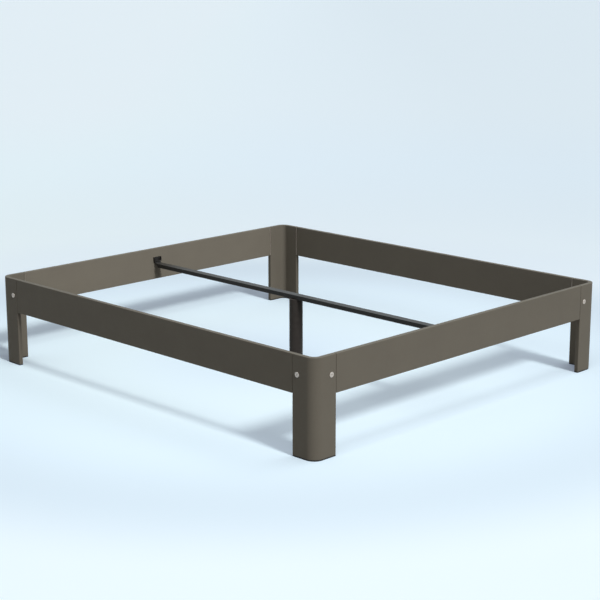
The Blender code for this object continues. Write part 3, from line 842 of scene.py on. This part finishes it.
# The rail beside each leg's own X side, and the one beside its own Y side
RAILS_AT = {"front_left": ("front_rail", "left_rail"), "front_right": ("right_rail", "front_rail"),
            "rear_right": ("rear_rail", "right_rail"), "rear_left": ("left_rail", "rear_rail")}
BOLT_STANDS_OFF = 0.0003

seats = [((BOLT_FROM_CORNER, -BOLT_STANDS_OFF, RAIL_MIDDLE), turn_about(0, 90)),
         ((-BOLT_STANDS_OFF, BOLT_FROM_CORNER, RAIL_MIDDLE), turn_about(1, -90))]
for corner, (turn, foot) in CORNERS.items():
    for other, (seat, out) in zip(RAILS_AT[corner], seats):
        place = foot + turn @ seat
        finish_node(f"bolt_{corner}_by_{other}", connector_bolt(), bright_steel, turn @ out, place)

# %% [markdown]
# ## Bright lines in the joints
# On the inside of the frame, a thin light line shows in each joint between a leg and a rail. A
# bright steel strip 1 mm thick stands in the gap here and draws it, from behind the tongue to a
# hair beyond the boards' inner face. It doesn't show from outside, where the joints are dark.

# %% Strips in the joints
STRIP_THICKNESS = 0.0010
STRIP_SHORT_OF_TOP = 0.0030
STRIP_FROM, STRIP_TO = 0.0135, 0.0208
STRIP_EDGE = 0.0003


def joint_strip():
    """A strip in the gap beside a leg's +X end, with the leg's outer corner on the Z axis."""
    middle = FLANGE + SEAM / 2
    low, high = middle - STRIP_THICKNESS / 2, middle + STRIP_THICKNESS / 2
    corners = [(low, STRIP_FROM), (high, STRIP_FROM), (high, STRIP_TO), (low, STRIP_TO)]
    bottom = RAIL_MIDDLE - RAIL_HEIGHT / 2 + STRIP_SHORT_OF_TOP
    return board(corners, [STRIP_EDGE] * 4, bottom, FRAME_TOP - STRIP_SHORT_OF_TOP, STRIP_EDGE)


for corner, (turn, foot) in CORNERS.items():
    for other, patches in zip(RAILS_AT[corner], (joint_strip(), swapped(joint_strip(), SWAP))):
        name = f"strip_{corner}_by_{other}"
        strip = bpy.data.objects.new(name, weld(name, patches, turn, foot))
        strip.data.materials.append(bright_steel)
        scene_objects.link(strip)
        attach(strip, "bed_frame")
        print(name, "has", open_edges(strip.data), "open edges")

# %% [markdown]
# ## Black powder coat
# The beam, its hangers and the middle leg are steel with a black powder coat. The powder melts
# to a skin with a slight texture, finer and stronger than the lacquer's, and that texture
# spreads its highlights. The middle leg's coat is a little lighter and duller.

# %% Powder coat and the centre beam
def powder_coat_material(name, tones, shine):
    """Black powder coat between two tones, with a fine orange peel and a dusty sheen."""
    sheen = {"Sheen Weight": 0.12, "Sheen Tint": (1.0, 0.94, 0.86, 1.0)}
    return uneven_material(
        name, tones, tone_noise=(60.0, 3.0), roughness=(0.34, 0.46), sheen_noise=(200.0, 2.0),
        relief=(0.15, 0.0002), relief_noise=(1300.0, 2.0),
        levels={"Specular IOR Level": shine, **sheen})


powder_coat = powder_coat_material(
    "satin_black_powder_coat", [(0.012, 0.0112, 0.010), (0.016, 0.015, 0.0135)], shine=0.17)
matt_coat = powder_coat_material(
    "matt_black_powder_coat", [(0.039, 0.0345, 0.0315), (0.0465, 0.0415, 0.038)], shine=0.06)
BEAM_WIDTH = 0.040
BEAM_HEIGHT = 0.020
BEAM_WALL = 0.0015
BEAM_EDGE = 0.002
BEAM_LENGTH = 1.974
BEAM_TOP = 0.343
STUD_BORE = 0.0043


def beam_row(inset, height):
    """The beam's outline, drawn in by an inset, at one end of the beam."""
    x, y = BEAM_WIDTH / 2 - inset, BEAM_HEIGHT / 2 - inset
    corners = [(-x, -y), (x, -y), (x, y), (-x, y)]
    points, normals = eased_path(corners, [BEAM_EDGE - inset] * 4)
    return np.insert(points, 2, height, axis=1), np.insert(normals, 2, 0, axis=1)


def centre_beam():
    """A rectangular tube along Z, with a hole for the middle leg's stud in its -Y wall."""
    patches = []
    rows = {}
    bores = []
    for inset, way in ((0, 1), (BEAM_WALL, -1)):
        for end in (-BEAM_LENGTH / 2, BEAM_LENGTH / 2):
            rows[inset, end], facing = beam_row(inset, end)
        low, high = rows[inset, -BEAM_LENGTH / 2], rows[inset, BEAM_LENGTH / 2]
        bores.append(ring((0, inset - BEAM_HEIGHT / 2, 0), STUD_BORE, (0, 1, 0)))
        patches += walls(looped(low), looped(high), way * looped(facing), {0: [bores[-1]]})
    for way in (-1, 1):
        outer, inner = rows[0, way * BEAM_LENGTH / 2], rows[BEAM_WALL, way * BEAM_LENGTH / 2]
        patches.append(flat_patch(outer, (0, 0, way), [inner]))
    return patches + [round_wall(*bores)]


beam_middle = (0, 0, BEAM_TOP - BEAM_HEIGHT / 2)
finish_node("centre_beam", centre_beam(), powder_coat, turn_about(0, 90), beam_middle)

# %% [markdown]
# ## The hangers
# Each end of the beam hangs in a steel hanger. Its head is a shallow tray, open at the top and
# towards the room, with two screws through its back into the rail. Under the head, a narrower
# solid arm reaches down and in, and it ends in a forked tongue inside the tube. The flat faces
# are patches, and a Bevel modifier eases the edges.

# %% Beam hangers
HANGER_PLATE = 0.003
HANGER_EDGE = 0.0005
HANGER_SCREW_BORE = 0.0024
HEAD_HALF, HEAD_BACK, HEAD_FRONT, HEAD_LOW, HEAD_TOP = 0.023, 0.0003, 0.0110, 0.0080, 0.0305
ARM_HALF, ARM_END, FORK_START = 0.0182, 0.0327, 0.036
TONGUE_END, TONGUE_LOW, TONGUE_TOP = 0.0780, -0.0182, -0.0018
ARM_SIDE = [  # in from the rail's face, and up from the beam's top
    (HEAD_BACK, HEAD_LOW), (ARM_END, -0.0200), (ARM_END, TONGUE_LOW), (TONGUE_END, TONGUE_LOW),
    (TONGUE_END, TONGUE_TOP), (ARM_END, TONGUE_TOP), (ARM_END, 0.0), (0.0135, 0.0),
    (0.0100, 0.0040), (HEAD_FRONT, HEAD_LOW)]
ARM_STRIPS = (0, 1, 5, 6, 7, 8)  # the sides that have a plain face across the arm


def sheet(axis, at, outline, way, holes=()):
    """A flat face across an axis, from the two other coordinates of its corners in order."""
    points = np.insert(np.array(outline, float), axis, at, axis=1)
    return flat_patch(points, way * np.identity(3)[axis], holes)


def oblong(low, high):
    """The four corners of an oblong between two opposite corners."""
    return [low, (high[0], low[1]), high, (low[0], high[1])]


def hanger_head():
    """The head: its back with two bores, its ends and rims, and the tray in it."""
    deep, floor, half = HEAD_BACK + HANGER_PLATE, HEAD_LOW + HANGER_PLATE, HEAD_HALF - HANGER_PLATE
    bores = [ring((HEAD_BACK, y, SCREW_RISE - BEAM_TOP), HANGER_SCREW_BORE, (1, 0, 0))
             for y in (-SCREW_SPACING / 2, SCREW_SPACING / 2)]
    deep_bores = [bore + (HANGER_PLATE, 0, 0) for bore in bores]
    bottom = [(y, HEAD_LOW) for y in (-HEAD_HALF, -ARM_HALF, ARM_HALF, HEAD_HALF)]
    rim = bottom + [(HEAD_HALF, HEAD_TOP), (half, HEAD_TOP), (half, floor), (-half, floor),
                    (-half, HEAD_TOP), (-HEAD_HALF, HEAD_TOP)]
    top = [(HEAD_BACK, -HEAD_HALF), (HEAD_BACK, HEAD_HALF), (HEAD_FRONT, HEAD_HALF),
           (HEAD_FRONT, half), (deep, half), (deep, -half), (HEAD_FRONT, -half),
           (HEAD_FRONT, -HEAD_HALF)]
    patches = [round_wall(*pair) for pair in zip(bores, deep_bores)]
    patches += [
        sheet(0, HEAD_BACK, bottom + [(HEAD_HALF, HEAD_TOP), (-HEAD_HALF, HEAD_TOP)], -1, bores),
        sheet(0, HEAD_FRONT, rim, 1),
        sheet(2, HEAD_TOP, top, 1),
        sheet(0, deep, oblong((-half, floor), (half, HEAD_TOP)), 1, deep_bores),
        sheet(2, floor, oblong((deep, -half), (HEAD_FRONT, half)), 1),
    ]
    for way in (-1, 1):
        outer = oblong((HEAD_BACK, HEAD_LOW), (HEAD_FRONT, HEAD_TOP))
        inner = oblong((deep, floor), (HEAD_FRONT, HEAD_TOP))
        wing = oblong((HEAD_BACK, way * ARM_HALF), (HEAD_FRONT, way * HEAD_HALF))
        patches += [sheet(1, way * HEAD_HALF, outer, way), sheet(1, way * half, inner, -way),
                    sheet(2, HEAD_LOW, wing, -1)]
    return patches


def hanger_arm():
    """The arm under the head, and the fork that enters the tube."""
    half = ARM_HALF - HANGER_PLATE
    patches = [sheet(0, FORK_START, oblong((-half, TONGUE_LOW), (half, TONGUE_TOP)), 1)]
    for start in ARM_STRIPS:
        (x, z), (next_x, next_z) = ARM_SIDE[start], ARM_SIDE[start + 1]
        strip = [(x, -ARM_HALF, z), (x, ARM_HALF, z),
                 (next_x, ARM_HALF, next_z), (next_x, -ARM_HALF, next_z)]
        facing = np.array((next_z - z, 0, x - next_x))
        patches.append(flat_patch(strip, facing / np.linalg.norm(facing)))
    fork = [(ARM_END, -ARM_HALF), (TONGUE_END, -ARM_HALF), (TONGUE_END, -half), (FORK_START, -half),
            (FORK_START, half), (TONGUE_END, half), (TONGUE_END, ARM_HALF), (ARM_END, ARM_HALF)]
    patches += [sheet(2, TONGUE_LOW, fork, -1), sheet(2, TONGUE_TOP, fork, 1)]
    for way in (-1, 1):
        inner = oblong((FORK_START, TONGUE_LOW), (TONGUE_END, TONGUE_TOP))
        tip = oblong((way * half, TONGUE_LOW), (way * ARM_HALF, TONGUE_TOP))
        patches += [sheet(1, way * ARM_HALF, ARM_SIDE, way), sheet(1, way * half, inner, -way),
                    sheet(0, TONGUE_END, tip, 1)]
    return patches


for end, way, degrees in (("front", -1, 90), ("rear", 1, 270)):
    face = (0, way * (HALF_LENGTH - THICKNESS), BEAM_TOP)
    hanger = hanger_head() + hanger_arm()
    piece = finish_node(f"beam_hanger_{end}", hanger, powder_coat, turn_about(2, degrees), face)
    bevel = piece.modifiers.new("eased_edges", "BEVEL")
    bevel.width = HANGER_EDGE
    bevel.segments = 3
    bevel.limit_method = "ANGLE"
    bevel.harden_normals = True

# %% [markdown]
# ## The hangers' screws
# A small screw is a turned piece too. The cross in its head is a recess whose outline has
# twelve corners.

# %% Hanger screws
CROSS_DEPTH = 0.0013


def hanger_screw():
    """A screw whose head stands on z = 0, with a cross cut in it."""
    head, top, shank, flat = 0.00425, 0.0024, 0.0021, 0.0030
    tip, cone = -0.016, -0.012
    corners = [(0, tip), (shank, cone), (shank, 0), (head, 0), (head, top), (flat, top)]
    skin, last = turned(corners, [0, 0, 0, 0.0002, 0.0008, 0], sides=32)
    long, short = 0.0025, 0.00055
    quarter = np.array([(long, -short), (long, short), (short, short)])
    turns = [quarter, quarter[:, ::-1] * (-1, 1), -quarter, quarter[:, ::-1] * (1, -1)]
    cross = np.insert(np.concatenate(turns), 2, top, axis=1)
    skin.append(flat_patch(last, (0, 0, 1), [cross]))
    return skin + recess(cross, (0, 0, -CROSS_DEPTH))


SCREW_STANDS_OFF = 0.0036

for end, way in (("front", 1), ("rear", -1)):
    for number in (1, 2):
        x = way * (number - 1.5) * SCREW_SPACING
        seat = (x, way * (SCREW_STANDS_OFF + THICKNESS - HALF_LENGTH), SCREW_RISE)
        turn = turn_about(2, 0 if way == 1 else 180) @ turn_about(0, -90)
        finish_node(f"hanger_screw_{end}_{number}", hanger_screw(), powder_coat, turn, seat)

# %% [markdown]
# ## The middle leg
# A round tube with a closed top carries the middle of the beam. Its path is closed, because the
# tube is hollow: up the outside, in over the top to the stud's hole, and down again inside. The
# plug in its bottom and the foot under it are turned as well.

# %% Middle leg, plug and foot
LEG_RADIUS = 0.032
LEG_WALL = 0.002
LEG_TOP = 0.3227
TOP_PLATE = 0.005
PLUG_BOTTOM = 0.024
PLUG_RIM = 0.003
PLUG_BODY = 0.020
PLUG_GAP = 0.0003
SPINDLE_BORE = 0.0053
TUBE_SIDES = 96

inner = LEG_RADIUS - LEG_WALL
rim_top = PLUG_BOTTOM + PLUG_RIM
bottom = rim_top + PLUG_GAP
tube, _ = turned([(LEG_RADIUS, bottom), (LEG_RADIUS, LEG_TOP), (STUD_BORE, LEG_TOP),
                  (STUD_BORE, LEG_TOP - TOP_PLATE), (inner, LEG_TOP - TOP_PLATE), (inner, bottom)],
                 [0.0005, 0.0010, 0.0002, 0, 0.0005, 0.0004], closed=True, sides=TUBE_SIDES)
finish_node("middle_leg_tube", tube, matt_coat)

body, body_top = inner - PLUG_GAP, rim_top + PLUG_BODY
plug, _ = turned([(SPINDLE_BORE, PLUG_BOTTOM), (LEG_RADIUS, PLUG_BOTTOM), (LEG_RADIUS, rim_top),
                  (body, rim_top), (body, body_top), (SPINDLE_BORE, body_top)],
                 [0.0005, 0.0012, 0.0004, 0, 0.0008, 0.0004], closed=True, sides=TUBE_SIDES)
finish_node("middle_leg_plug", plug, plastic)

FOOT_RADIUS = 0.0225
FOOT_THICKNESS = 0.008
SEAT_BOTTOM = 0.0035
pad, _ = turned([(0, 0), (FOOT_RADIUS, 0), (FOOT_RADIUS, FOOT_THICKNESS),
                 (SPINDLE_BORE, FOOT_THICKNESS), (SPINDLE_BORE, SEAT_BOTTOM), (0, SEAT_BOTTOM)],
                [0, 0.0008, 0.0020, 0.0003, 0, 0], sides=TUBE_SIDES)
finish_node("levelling_foot", pad, plastic, body="screw_foot")

# %% [markdown]
# ## The spindle's thread
# The foot sits on a threaded spindle, which shows between the foot and the plug. On a thread,
# the radius depends on the height and the angle together: it is a wave that climbs one pitch in
# each turn, here a cosine of (height / pitch - angle / full turn). Both ends are cut to a short
# cone. The normal leans back by how fast the radius grows along the height and round the axis.

# %% Threaded spindle
SPINDLE_RADIUS = 0.005
SPINDLE_BOTTOM = 0.0038
SPINDLE_TOP = 0.0598
THREAD_PITCH = 0.0015
THREAD_DEPTH = 0.0009
END_CHAMFER = 0.0010
THREAD_ROWS = 336


def threaded_spindle():
    """A rod with a thread all the way up, as patches."""
    height = np.linspace(SPINDLE_BOTTOM, SPINDLE_TOP, THREAD_ROWS + 1)[:, None]
    angle = np.linspace(0, 2 * math.pi, ROUND_SIDES + 1)[None, :]
    wave = (1 - np.cos(2 * math.pi * height / THREAD_PITCH - angle)) / 2
    radius = SPINDLE_RADIUS - THREAD_DEPTH * wave
    to_end = np.minimum(height - SPINDLE_BOTTOM, SPINDLE_TOP - height)
    radius = np.minimum(radius, SPINDLE_RADIUS - END_CHAMFER + to_end)
    angle = angle % (2 * math.pi)
    round_slope = np.gradient(radius, 2 * math.pi / ROUND_SIDES, axis=1) / radius
    up_slope = np.gradient(radius, (SPINDLE_TOP - SPINDLE_BOTTOM) / THREAD_ROWS, axis=0)
    round_slope[:, 0] = round_slope[:, -1] = (round_slope[:, 0] + round_slope[:, -1]) / 2
    skin = np.stack([radius * np.cos(angle), radius * np.sin(angle), height + 0 * radius], axis=2)
    facing = np.stack([np.cos(angle) + round_slope * np.sin(angle),
                       np.sin(angle) - round_slope * np.cos(angle), -up_slope], axis=2)
    facing /= np.linalg.norm(facing, axis=2, keepdims=True)
    ends = [flat_patch(skin[row, :-1], (0, 0, way)) for row, way in ((0, -1), (-1, 1))]
    return [grid_patch(skin, facing), *ends]


plain_steel = uneven_material(
    "dull_plated_steel", [(0.40, 0.40, 0.39), (0.50, 0.50, 0.48)],
    tone_noise=(120.0, 4.0), roughness=(0.36, 0.50), sheen_noise=(400.0, 3.0),
    relief=(0.1, 0.0001), relief_noise=(900.0, 3.0), levels={"Metallic": 1.0})
finish_node("foot_spindle", threaded_spindle(), plain_steel, body="screw_foot")

# %% [markdown]
# ## What stays as it was measured
# The tongues, the stud and its nut are buried in the boards and the tubes. Their solids are
# right as they are, so they only get the plated steel.

# %% Hidden steel
replaced = {node for piece in bpy.data.objects for node in piece.get("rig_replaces", [])}
for name, node in frame["nodes"].items():
    if name not in replaced:
        for holder in node.material_slots:
            holder.material = plain_steel
print("kept as measured:", sorted(set(frame["nodes"]) - replaced))
